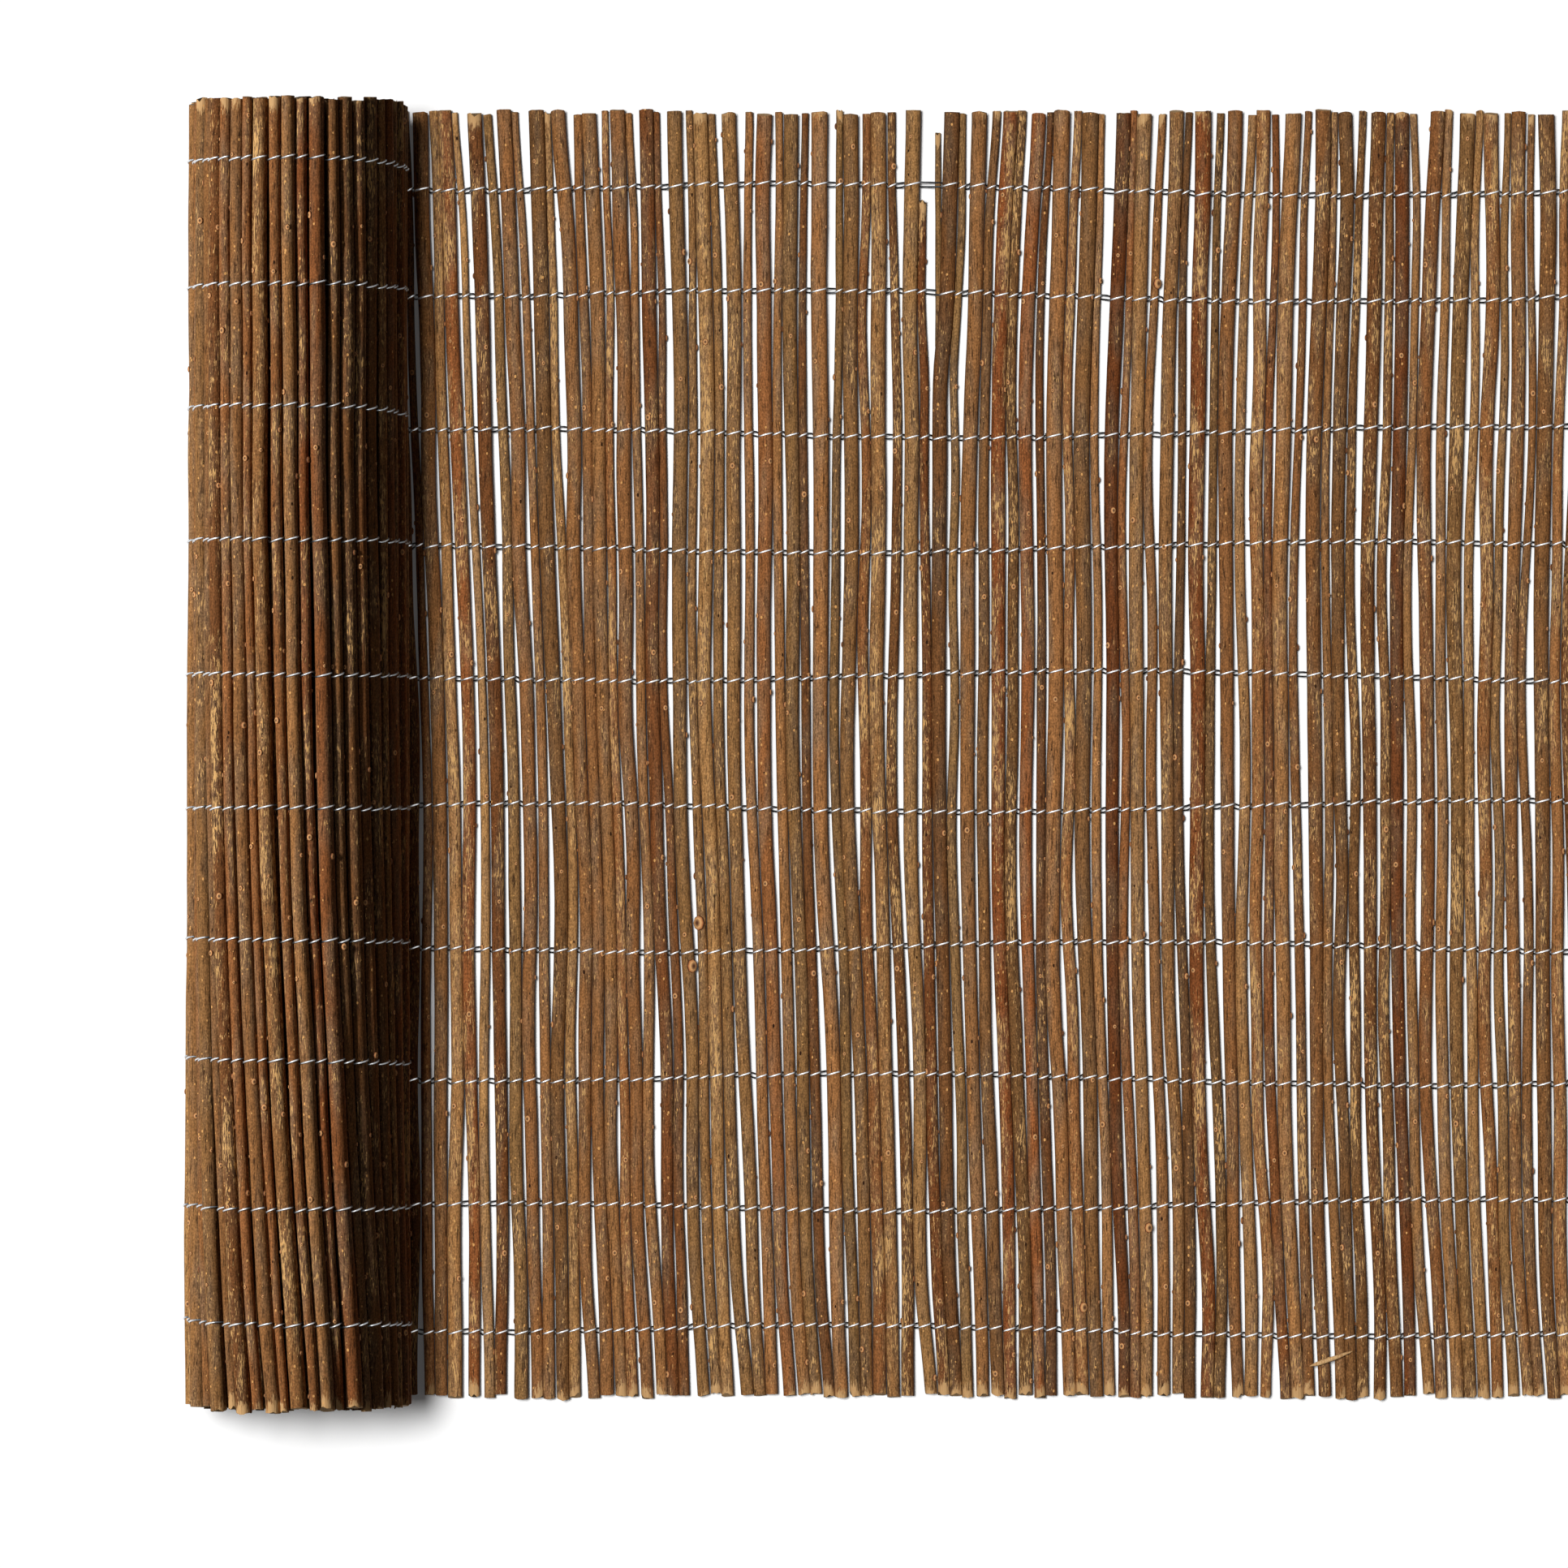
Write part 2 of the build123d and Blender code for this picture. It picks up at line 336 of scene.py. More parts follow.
def budTree():
    tree, given = newTree("bud scar scatter", {
        "Seats": "Geometry", "Bud Size": "Vector", "Cork": "Material"})
    ball = addNode(tree, "GeometryNodeMeshUVSphere", {"Segments": 8, "Rings": 6, "Radius": 0.5})
    place = addNode(tree, "GeometryNodeInputPosition")
    height = addNode(tree, "ShaderNodeSeparateXYZ", {0: place.outputs[0]})
    crown = reckon(tree, "MULTIPLY", height.outputs["Z"], 2.0)
    bud = addNode(tree, "GeometryNodeStoreNamedAttribute", {
        "Geometry": ball.outputs[0], "Name": "budCrown", "Value": crown})
    outward, growth = (addNode(tree, "GeometryNodeInputNamedAttribute", {
        "Name": name}, data_type="FLOAT_VECTOR") for name in ("budOutward", "budGrowth"))
    size = addNode(tree, "GeometryNodeInputNamedAttribute", {"Name": "budSize"}, data_type="FLOAT")
    upright = addNode(tree, "FunctionNodeAlignRotationToVector", {"Vector": outward.outputs[0]}, axis="Z")
    turned = addNode(tree, "FunctionNodeAlignRotationToVector", {
        "Rotation": upright.outputs[0], "Vector": growth.outputs[0]}, axis="Y", pivot_axis="Z")
    scale = addNode(tree, "ShaderNodeVectorMath", {
        0: given["Bud Size"], "Scale": size.outputs[0]}, operation="SCALE")
    placed = addNode(tree, "GeometryNodeInstanceOnPoints", {
        "Points": given["Seats"], "Instance": bud.outputs[0], "Rotation": turned.outputs[0],
        "Scale": scale.outputs[0]})
    closeTree(tree, placed.outputs[0], given["Cork"])
    return tree


def pathMesh(name, paths):
    mesh = bpy.data.meshes.new(name)
    points, edges = [], []
    for path in paths:
        first = len(points)
        points.extend(path)
        edges.extend((first + k, first + k + 1) for k in range(len(path) - 1))
    mesh.from_pydata(points, edges, [])
    return mesh


def setValues(mesh, name, values, kind="FLOAT"):
    layer = mesh.attributes.new(name, kind, "POINT")
    if kind == "FLOAT":
        layer.data.foreach_set("value", values)
    else:
        layer.data.foreach_set("vector", [c for value in values for c in value])


def grow(name, mesh, tree, inputs):
    piece = bpy.data.objects.new(name, mesh)
    bpy.context.collection.objects.link(piece)
    modifier = piece.modifiers.new("grow", "NODES")
    modifier.node_group = tree
    for item in tree.interface.items_tree:
        if item.in_out == "INPUT" and item.name in inputs:
            modifier[item.identifier] = inputs[item.name]
    graph = bpy.context.evaluated_depsgraph_get()
    finished = bpy.data.meshes.new_from_object(
        piece.evaluated_get(graph), preserve_all_data_layers=True, depsgraph=graph)
    piece.modifiers.remove(modifier)
    piece.data = finished
    finished.name = name
    return piece


rodSweep = rodTree()
wireSweep = wireTree()
budScatter = budTree()


def dress(piece, slot, *nodes):
    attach(piece, "root")
    if nodes:
        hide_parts(*nodes)
    print(piece.name, len(piece.data.polygons), "faces")


# Rods

rods = {
    "seed": 23,
    "rings": 72,
    "sides": 12,
    "endRings": (0.004, 0.010),  # extra rings close to the ends
    "roundness": 1.0,  # round rods as thick as their solids across the flats
    "coarseGirth": (0.95, 1.05),
    "fineGirth": (0.86, 1.12),
    "levels": 50,  # rows across the mat at which the rods are settled
    "crook": 0.0021,  # wave of a rod by itself
    "crookLength": (0.17, 0.6),
    "sharedCrook": 0.0010,  # wave that neighbours share
    "sharedLength": 0.43,
    "sharedLag": 9,  # radians a metre across the mat
    "splay": 0.0045,  # rods fan out past the first and last wire
    "splayFrom": 0.42,
    "bulge": 0.017,  # to the right, near the roll
    "bulgeReach": (0.15, 0.11),  # full up to, and fading over
    "sag": 0.009,  # to the left, everywhere
    "bowStart": 0.06,  # from the roll's line to the full bow
    "straightEnd": (0.95, 0.2),  # the bow fades from here, over this
    "clumping": 0.7,
    "gapLength": (0.45, 1.3),  # along a rod, from one wide stretch of its gap to the next
    "gapWave": 0.8,
    "tightUpTo": (0.08, 0.07),  # gaps stay small beside the roll up to here, and grow over this
    "tightShare": 0.25,
    "breakHold": (0.26, 0.06),  # rods beside the break are held from here up, over this
    "settling": 14,
    "leastGap": -0.0003,
    "lumpHeight": 0.00022,
    "lumpSize": (0.011, 0.05, 0.011),
    "innerRings": 12,
    "innerSides": 8,
}


def endFaces(nodeName):
    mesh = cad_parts[nodeName].data
    ends = {1: [], -1: []}
    for face in mesh.polygons:
        if abs(face.normal.y) < 0.9:
            continue
        way = 1 if face.normal.y > 0 else -1
        corners = {tuple(mesh.vertices[k].co) for k in face.vertices}
        touching = [end for end in ends[way] if end & corners]
        ends[way] = [end for end in ends[way] if not end & corners]
        ends[way].append(corners.union(*touching))
    return ends


def endOf(corners):
    low = min(c[2] for c in corners)
    high = max(c[2] for c in corners)
    crown = [c[0] for c in corners if c[2] > high - 1e-5]
    y = sum(c[1] for c in corners) / len(corners)
    return (sum(crown) / len(crown), y, high - low)


def readRods(nodeName):
    ends = endFaces(nodeName)
    tops = sorted(endOf(end) for end in ends[1])
    bottoms = sorted(endOf(end) for end in ends[-1])
    return [{"bottom": bottom, "top": top} for bottom, top in zip(bottoms, tops)]


def ramp(value, start, length):
    return min(max((value - start) / length, 0.0), 1.0)


def bowAt(x):
    # Rods near the roll bulge to the right, the rest to the left, and the free end lies straight
    run = x - contactX
    full, fade = rods["bulgeReach"]
    bulge = rods["bulge"] * math.exp(-(max(run - full, 0.0) / fade) ** 2) - rods["sag"]
    return bulge * min(run / rods["bowStart"], 1.0) * (1 - ramp(run, *rods["straightEnd"]))


def character(rod, chance, coarse):
    rod["tone"] = chance.random()
    rod["kind"] = chance.uniform(0.0, 0.9) if coarse else chance.uniform(0.1, 1.0)
    rod["worn"] = chance.choice((0.0, 0.0, 0.03, 0.06, 0.10))
    rod["waves"] = []
    for _ in range(3):
        length = chance.uniform(*rods["crookLength"])
        rod["waves"].append((length, chance.uniform(0, wholeTurn), chance.uniform(0.3, 1.0)))
    rod["girth"] = chance.uniform(*rods["coarseGirth" if coarse else "fineGirth"])
    rod["growth"] = -1 if coarse else 1  # which way the tip points
    rod["splay"] = (chance.uniform(-1, 1), chance.uniform(-1, 1))  # at the bottom and the top
    rod["gap"] = (chance.gauss(0, 0.8), chance.uniform(*rods["gapLength"]), chance.uniform(0, wholeTurn))
    rod["drift"] = [0.0, 0.0]


def ownWave(rod, y, turn):
    total = 0.0
    for length, phase, share in rod["waves"]:
        total += share * math.sin(wholeTurn * y / length + phase + turn)
    return total / 2


def gapShare(rod, y):
    # How wide the gap on a rod's right is, against the others
    base, length, phase = rod["gap"]
    loose = ramp(rod["top"][0] - contactX, *rods["tightUpTo"])  # tight where the mat comes off the roll
    clump = base + rods["gapWave"] * math.sin(wholeTurn * y / length + phase)
    least = rods["tightShare"]
    return (least + (1 - least) * loose) * math.exp(rods["clumping"] * loose * clump)


def between(values, share):
    # Smooth curve through evenly spaced values
    spot = min(max(share, 0.0), 1.0) * (len(values) - 1)
    k = min(int(spot), len(values) - 2)
    t = spot - k
    a, b, c, d = values[max(k - 1, 0)], values[k], values[k + 1], values[min(k + 2, len(values) - 1)]
    return b + 0.5 * t * (c - a + t * (2 * a - 5 * b + 4 * c - d + t * (3 * (b - c) + d - a)))


def straightAt(rod, y):
    (x0, y0, d0), (x1, y1, d1) = rod["bottom"], rod["top"]
    share = (y - y0) / (y1 - y0)
    radius = rods["roundness"] * rod["girth"] * (d0 + share * (d1 - d0)) / 2
    return x0 + share * (x1 - x0), radius


def laidAt(rod, y):
    x, radius = straightAt(rod, y)
    x += between(rod["drift"], (y + matHalf) / (2 * matHalf))
    return Vector((x, y, rod["rest"] + radius)), radius


def settleRow(places, radii, free, shares):
    # Neighbouring gaps come to the shares given, so that rods lie in clumps
    for _ in range(rods["settling"]):
        for k in range(1, len(places) - 1):
            left = places[k] - radii[k] - places[k - 1] - radii[k - 1]
            right = places[k + 1] - radii[k + 1] - places[k] - radii[k]
            move = (right * shares[k - 1] - left * shares[k]) / (shares[k - 1] + shares[k])
            places[k] += free[k] * 0.5 * move


def partRow(places, radii, free):
    for _ in range(12):
        for k in range(len(places) - 1):
            room = places[k + 1] - places[k] - radii[k] - radii[k + 1] - rods["leastGap"]
            if room < 0:
                places[k] += free[k] * room / 2
                places[k + 1] -= free[k + 1] * room / 2


def keepDrifts(stock, rows):
    for k, rod in enumerate(stock):
        drift = [row[k] for row in rows]
        for _ in range(2):
            padded = [drift[0]] + drift + [drift[-1]]
            drift = [(padded[n] + 2 * padded[n + 1] + padded[n + 2]) / 4 for n in range(len(drift))]
        rod["drift"] = drift


def settleRods(laid):
    stub = min(range(len(laid)), key=lambda k: laid[k]["top"][1])
    rows = []
    for level in range(rods["levels"]):
        y = matHalf * (2 * level / (rods["levels"] - 1) - 1)
        straight = [straightAt(rod, y) for rod in laid]
        places = [x for x, radius in straight]
        radii = [radius for x, radius in straight]
        held = ramp(y, *rods["breakHold"])  # beside the break rods stay where they spread to
        free = [1 - held if abs(k - stub) <= 1 else 1.0 for k in range(len(laid))]
        settleRow(places, radii, free, [gapShare(rod, y) for rod in laid])
        for k, rod in enumerate(laid):
            bow = bowAt(places[k]) * (1 - (y / matHalf) ** 2)
            lag = rods["sharedLag"] * places[k]
            wave = rods["crook"] * ownWave(rod, y, 0)
            wave += rods["sharedCrook"] * math.sin(wholeTurn * y / rods["sharedLength"] + lag)
            past = max(0.0, abs(y) - rods["splayFrom"]) / (matHalf - rods["splayFrom"])
            wave += rods["splay"] * past * rod["splay"][0 if y < 0 else 1]
            places[k] += bow + free[k] * wave
        partRow(places, radii, free)
        rows.append([place - x for place, (x, radius) in zip(places, straight)])
    keepDrifts(laid, rows)


def layOut():
    chance = random.Random(rods["seed"])
    laid = readRods("laid_out_mat")
    for number, rod in enumerate(laid):
        character(rod, chance, number % 2 == 0)
        rod["rest"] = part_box("laid_out_mat")[0].z
    settleRods(laid)
    return laid


def rodSpan(rod, count):
    low, high = rod["bottom"][1], rod["top"][1]
    near = [0.0] + list(rods["endRings"])
    inner = count - 2 * len(near)
    first, last = low + 2 * near[-1], high - 2 * near[-1]
    middle = [first + (last - first) * k / (inner - 1) for k in range(inner)]
    return [low + step for step in near] + middle + [high - step for step in reversed(near)]


def rodMesh(name, stock, at, count):
    paths, radii, tones, kinds, wears = [], [], [], [], []
    for rod in stock:
        places = [at(rod, y) for y in rodSpan(rod, count)]
        paths.append([place for place, radius in places])
        radii.extend(radius for place, radius in places)
        tones.extend([rod["tone"]] * count)
        kinds.extend([rod["kind"]] * count)
        wears.extend([rod["worn"]] * count)
    mesh = pathMesh(name, paths)
    setValues(mesh, "rodRadius", radii)
    setValues(mesh, "rodTone", tones)
    setValues(mesh, "rodKind", kinds)
    setValues(mesh, "rodWorn", wears)
    return mesh


rodEnds = {
    "slope": (-0.3, 0.22),
    "rough": (0.0001, 0.0008),
    "tear": (0.3, 1.0),
    "tornTops": 0.3,  # share of the rods
    "tornBottoms": 0.7,
    "facing": (0.4, 2.7),  # radians round the rod, up at a quarter turn
    "splinter": (-0.0012, 0.004),  # wood left proud, and torn away
    "shortBy": 0.03,  # an end this far inside the mat's edge has snapped
}


def sawEnds(mesh, rings, sides, seed):
    # Sawn ends slope a little and show bare wood; most bottom ends and the snapped ones are torn
    chance = random.Random(seed)
    mesh.materials.append(woodMaterial)
    torn = [0.0] * len(mesh.vertices)
    for first in range(0, len(mesh.vertices), rings * sides):
        for top in (False, True):
            way = 1 if top else -1
            starts = [first + sides * (rings - 1 - k if top else k) for k in range(4)]
            slope = chance.uniform(*rodEnds["slope"])
            rough = chance.uniform(*rodEnds["rough"])
            isTorn = chance.random() < rodEnds["tornTops" if top else "tornBottoms"]
            tear = chance.uniform(*rodEnds["tear"]) if isTorn else 0.0
            if abs(mesh.vertices[starts[0]].co.y) < matHalf - rodEnds["shortBy"]:
                tear = 1.0
            facing = chance.uniform(*rodEnds["facing"])
            for k, start in enumerate(starts):
                ring = [mesh.vertices[start + j] for j in range(sides)]
                middle = sum((corner.co for corner in ring), Vector()) / sides
                for corner in ring:
                    place = corner.co - middle
                    side = max(0.0, math.cos(math.atan2(place.z, place.x) - facing))
                    torn[corner.index] = tear * (1 - k / 3) * (0.4 + 0.6 * side)
                    if k == 0:
                        corner.co.y -= way * (slope * place.z + chance.uniform(0, rough))
                        corner.co.y -= way * tear * side * chance.uniform(*rodEnds["splinter"])
    setValues(mesh, "rodTorn", torn)
    for face in mesh.polygons:
        if len(face.vertices) > 4:
            face.use_smooth = False
            face.material_index = 1


def growRods(name, stock, at, rings, sides, seed):
    piece = grow(name, rodMesh(name, stock, at, rings), rodSweep, {
        "Sides": sides, "Lump Height": rods["lumpHeight"], "Lump Size": rods["lumpSize"],
        "Bark": barkMaterial})
    sawEnds(piece.data, rings, sides, seed)
    return piece


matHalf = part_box("laid_out_mat")[1].y
laidRods = layOut()
laidPiece = growRods("laid_out_rods", laidRods, laidAt, rods["rings"], rods["sides"], 5)
dress(laidPiece, "willow_bark", "laid_out_mat")

tipRods = readRods("broken_tip")
for tip in tipRods:
    character(tip, random.Random(8), False)
    tip["girth"] = 1.0
    tip["rest"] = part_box("broken_tip")[0].z
tipPiece = growRods("broken_tip_twig", tipRods, laidAt, 24, rods["sides"], 6)
dress(tipPiece, "willow_bark", "broken_tip")


# Roll

roll = {
    "rodPitch": 0.01115,
    "turnPitch": 0.0129,
    "ridge": 0.0123,  # thickness of the outermost ridges of the solid
    "coreRadius": 0.012,
    "coarse": (0.0118, 0.0106),  # at the bottom and top edge
    "fine": (0.0078, 0.0088),
    "coarseGirth": (0.92, 1.08),
    "fineGirth": (0.82, 1.1),
    "proud": (-0.002, 0.0006),  # rods stand back or forward by this much
    "flare": 0.035,  # the bottom end is a little wider
    "twist": 0.42,  # radians from end to end
    "twistBend": 2.6,  # over 1, more of the twist is near the bottom
    "twistZero": 0.2,
    "twistFrom": (0.9, 1.3),  # round the roll, the twist sets in here, over this
    "twistEase": (2.6, 0.15),  # and eases past here, by this a radian
    "lean": 0.0016,
    "crook": 0.0022,
    "endSpread": 0.004,
    "swell": 0.0008,  # in and out along a rod
    "kind": (0.0, 0.6),
    "toneShare": 0.6,  # painted shade: the roll's rods are darker than the laid ones
    "paintedLightAt": (1.5, 0.55),  # painted light: round the roll, palest here, fading over this
    "paintedLightKind": 0.4,
    "paintedLightTone": 0.45,
    "seed": 41,
}
rollRadius = (rollBox[1].x - rollBox[0].x + roll["turnPitch"] - roll["ridge"]) / 2
rollAxis = (contactX, rollBox[0].z + roll["ridge"] / 2 + rollRadius)
rollHalf = (rollBox[1].y - rollBox[0].y) / 2


def spiralRadius(angle):
    return rollRadius - roll["turnPitch"] * angle / (2 * math.pi)


def rolledAt(rod, y):
    share = (y - rod["bottom"][1]) / (rod["top"][1] - rod["bottom"][1])
    radius = (rod["bottom"][2] + share * (rod["top"][2] - rod["bottom"][2])) / 2
    reach = spiralRadius(rod["angle"])
    angle = rod["angle"] + between(rod["drift"], (y + rollHalf) / (2 * rollHalf)) / reach
    grown = 1 + roll["flare"] * (0.5 - share)
    reach = reach * grown + rod["proud"] + roll["swell"] * ownWave(rod, y, 1.5)
    x = rollAxis[0] - reach * math.sin(angle)
    z = rollAxis[1] + rollRadius * (grown - 1) - reach * math.cos(angle)
    return Vector((x, y, z)), radius


def rollUp():
    chance = random.Random(roll["seed"])
    angle = roll["rodPitch"] / 2 / rollRadius
    rolled = []
    while spiralRadius(angle) > roll["coreRadius"]:
        coarse = len(rolled) % 2 == 1
        low, high = roll["coarse"] if coarse else roll["fine"]
        size = chance.uniform(*roll["coarseGirth" if coarse else "fineGirth"])
        rod = {"angle": angle}
        rod["bottom"] = (0, -rollHalf + chance.uniform(0, roll["endSpread"]), low * size)
        rod["top"] = (0, rollHalf - chance.uniform(0, roll["endSpread"]), high * size)
        rod["proud"] = chance.uniform(*roll["proud"]) * min(angle, 1.0)
        rod["lean"] = chance.uniform(-1, 1)
        character(rod, chance, coarse)
        palest, fade = roll["paintedLightAt"]
        paintedLight = math.exp(-((angle - palest) / fade) ** 2)  # painted light: the roll's left side, where the side lamp falls, is paler
        # painted light and shade: the roll's rods are darker, and paler on the left where the side lamp
        # falls
        rod["kind"] = chance.uniform(*roll["kind"]) + roll["paintedLightKind"] * paintedLight
        rod["tone"] = roll["toneShare"] * rod["tone"] + roll["paintedLightTone"] * paintedLight
        rolled.append(rod)
        angle += roll["rodPitch"] / spiralRadius(angle)
    return rolled


def settleRoll(outer):
    # The rods of the outer turn lie over in a twist, and are moved apart where they overlap
    rows = []
    for level in range(rods["levels"]):
        share = level / (rods["levels"] - 1)
        y = rollHalf * (2 * share - 1)
        start = [roll["rodPitch"] * k for k in range(len(outer))]
        places = []
        for rod, place in zip(outer, start):
            shift = roll["lean"] * rod["lean"] * (2 * share - 1) + roll["crook"] * ownWave(rod, y, 0)
            places.append(place + min(rod["angle"], 1.0) * shift)
        radii = [rolledAt(rod, y)[1] for rod in outer]
        free = [0.0] + [1.0] * (len(outer) - 1)
        settleRow(places, radii, [0.5 * f for f in free], [gapShare(rod, y) for rod in outer])
        turn = roll["twist"] * ((1 - share) ** roll["twistBend"] - roll["twistZero"])
        easeFrom, ease = roll["twistEase"]
        for k, rod in enumerate(outer):
            hold = ramp(rod["angle"], *roll["twistFrom"]) - ease * max(0.0, rod["angle"] - easeFrom)
            places[k] += turn * hold * spiralRadius(rod["angle"])
        partRow(places, radii, free)
        rows.append([place - first for place, first in zip(places, start)])
    keepDrifts(outer, rows)


rolledRods = rollUp()
outerRods = [rod for rod in rolledRods if rod["angle"] < 2 * math.pi + 0.3]
innerRods = rolledRods[len(outerRods):]
settleRoll(outerRods)
outerPiece = growRods("rolled_outer_rods", outerRods, rolledAt, rods["rings"], rods["sides"], 7)
dress(outerPiece, "willow_bark", "rolled_turns")
innerPiece = growRods("rolled_inner_rods", innerRods, rolledAt, rods["innerRings"], rods["innerSides"], 9)
dress(innerPiece, "willow_bark")


# Binding wire: two strands that change sides between rods, so a strand shows over each rod

wire = {
    "diameter": 0.0014,
    "sides": 6,
    "rise": 0.0017,  # each strand rises by twice this over a rod
    "wander": 0.0045,  # slow drift of a row
    "wanderLength": 0.85,
    "wanderStart": 0.3,  # from the roll's line to the full drift
    "jitter": 0.0008,
    "climb": 1.4,  # radians round the roll to the row's full height there
    "sink": (3.6, 0.2),  # past here the row comes down again, by this share a radian
    "rollShade": (2.4, 2.4, 0.8),  # painted shade: round the roll, darker from here, over this, at most
    "flankShade": 0.85,  # painted shade: how dark the strands are at a rod's flanks
    "bends": (-68, -34, 0, 34, 68),  # degrees round a rod
    "rollEnd": 5.7,  # radians round the roll
    "seed": 77,
}


def stations(row, y, rollY):
    chance = random.Random(wire["seed"] + row)
    phase = chance.uniform(0, wholeTurn)
    sinkFrom, sink = wire["sink"]
    shadeFrom, shadeOver, deepestShade = wire["rollShade"]
    found = []
    for rod in reversed(laidRods):
        run = rod["top"][0] - contactX
        drift = wire["wander"] * math.sin(wholeTurn * run / wire["wanderLength"] + phase)
        drift *= min(run / wire["wanderStart"], 1.0)
        here = y + drift + chance.uniform(-1, 1) * wire["jitter"]
        if here > rod["top"][1]:
            continue
        place, radius = laidAt(rod, here)
        found.append((place, radius, Vector((0, 0, -1)), Vector((-1, 0, 0)), 0.0))
    for rod in outerRods:
        if rod["angle"] > wire["rollEnd"]:
            break
        turn = rod["angle"]
        settle = min(turn / wire["climb"], 1.0) - sink * max(0.0, turn - sinkFrom)
        here = y + (rollY - y) * settle + chance.uniform(-1, 1) * wire["jitter"]
        place, radius = rolledAt(rod, here)
        outward = Vector((-math.sin(turn), 0, -math.cos(turn)))
        onward = Vector((-math.cos(turn), 0, math.sin(turn)))
        # painted shade: the wire darkens towards the roll's right side
        dullAndShade = min(max((turn - shadeFrom) / shadeOver, 0.0), deepestShade)
        found.append((place, radius, outward, onward, dullAndShade))
    return found


def strand(path, start):
    points, paintedShades = [], []
    for number, (place, radius, outward, onward, dullAndShade) in enumerate(path):
        side = 1 if (number + start) % 2 == 0 else -1
        reach = radius + wire["diameter"] / 2
        for bend in wire["bends"]:
            turn = math.radians(bend)
            point = place + reach * (outward * side * math.cos(turn) + onward * math.sin(turn))
            point.y += side * wire["rise"] * math.sin(turn)
            points.append(point)
            # painted shade: dark at a rod's flanks, and on the roll's right side
            paintedShades.append(wire["flankShade"] if abs(bend) > 60 else dullAndShade)
        if number + 1 < len(path):
            middle = (place + path[number + 1][0]) / 2
            middle.y += side * wire["rise"]
            points.append(middle)
            # painted shade: full where the strands dip between rods
            paintedShades.append(1.0)
    return points, paintedShades


def wireMesh(name, path):
    (front, frontShades), (back, backShades) = strand(path, 0), strand(path, 1)
    mesh = pathMesh(name, [front, back])
    setValues(mesh, "wirePaintedShade", frontShades + backShades)
    return mesh


for row in range(10):
    number = f"{row + 1:02d}"
    low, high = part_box("mat_wire_" + number)
    rollLow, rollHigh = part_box("roll_wire_" + number)
    rollY = (rollLow.y + rollHigh.y) / 2
    path = stations(row, low.y + high.y - rollY, rollY)  # the loop and its step reach from row to row
    name = "binding_wire_row_" + number
    piece = grow(name, wireMesh(name, path), wireSweep, {
        "Sides": wire["sides"], "Wire Diameter": wire["diameter"], "Zinc": wireMaterial})
    dress(piece, "galvanised_wire", "mat_wire_" + number, "roll_wire_" + number)


# Bud scars and knots

buds = {
    "seed": 19,
    "spacing": (0.024, 0.08),
    "size": (0.0044, 0.0054, 0.0024),  # across, along and out of the bark
    "divergence": 2.4,  # radians from one bud to the next round the rod
    "knots": ((860, 1137, 2.3), (857, 1190, 2.1), (1430, 350, 1.7), (1415, 1512, 1.6), (1335, 1610, 1.7)),
}


def budSeats(stock, at, chance):
    seats = []
    for rod in stock:
        y = rod["bottom"][1] + chance.uniform(0.01, 0.08)
        angle = chance.uniform(0, wholeTurn)
        turn = rod.get("angle", math.pi)  # on the roll the outside faces away from its axis
        outside = Vector((-math.sin(turn), 0, -math.cos(turn)))
        while y < rod["top"][1] - 0.008:
            place, radius = at(rod, y)
            outward = Vector((math.cos(angle), 0, math.sin(angle)))
            if outward.dot(outside) > -0.35:
                seats.append((place + outward * radius, outward, rod["growth"], chance.uniform(0.5, 1.1)))
            angle += buds["divergence"] + chance.uniform(-0.3, 0.3)
            y += chance.uniform(*buds["spacing"])
    return seats


def knotSeats():
    seats = []
    for column, pixelRow, size in buds["knots"]:
        x, y = fromPicture(column, pixelRow)
        rod = min(laidRods, key=lambda rod: abs(laidAt(rod, y)[0].x - x))
        place, radius = laidAt(rod, y)
        outward = Vector((max(-0.7, min(0.7, (x - place.x) / radius)), 0, 1)).normalized()
        seats.append((place + outward * radius, outward, rod["growth"], size))
    return seats


def growBuds(name, seats):
    mesh = bpy.data.meshes.new(name)
    mesh.from_pydata([seat[0] for seat in seats], [], [])
    setValues(mesh, "budOutward", [seat[1] for seat in seats], "FLOAT_VECTOR")
    setValues(mesh, "budGrowth", [(0, seat[2], 0) for seat in seats], "FLOAT_VECTOR")
    setValues(mesh, "budSize", [seat[3] for seat in seats])
    piece = grow(name, mesh, budScatter, {"Bud Size": buds["size"], "Cork": budMaterial})
    dress(piece, "willow_bark")
    return piece


budChance = random.Random(buds["seed"])
growBuds("laid_out_bud_scars", budSeats(laidRods, laidAt, budChance) + knotSeats())
rolledBuds = growBuds("rolled_bud_scars", budSeats(outerRods, rolledAt, budChance))


# Torn sliver of wood on top of the rods

sliver = {"left": (1613, 1682), "right": (1665, 1664), "thickness": 0.0034, "arch": 0.0015, "points": 14}


def sliverMesh():
    x0, y0 = fromPicture(*sliver["left"])
    x1, y1 = fromPicture(*sliver["right"])
    under = [laidAt(rod, (y0 + y1) / 2) for rod in laidRods]
    rest = max(place.z + radius for place, radius in under if x0 - 0.01 < place.x < x1 + 0.01)
    path, radii = [], []
    for k in range(sliver["points"]):
        share = k / (sliver["points"] - 1)
        radii.append(sliver["thickness"] / 2 * (0.15 + math.sin(math.pi * share ** 0.8) ** 0.7))
        lift = radii[-1] + sliver["arch"] * math.sin(math.pi * share)
        path.append((x0 + share * (x1 - x0), y0 + share * (y1 - y0), rest + lift))
    mesh = pathMesh("torn_sliver", [path])
    setValues(mesh, "rodRadius", radii)
    return mesh


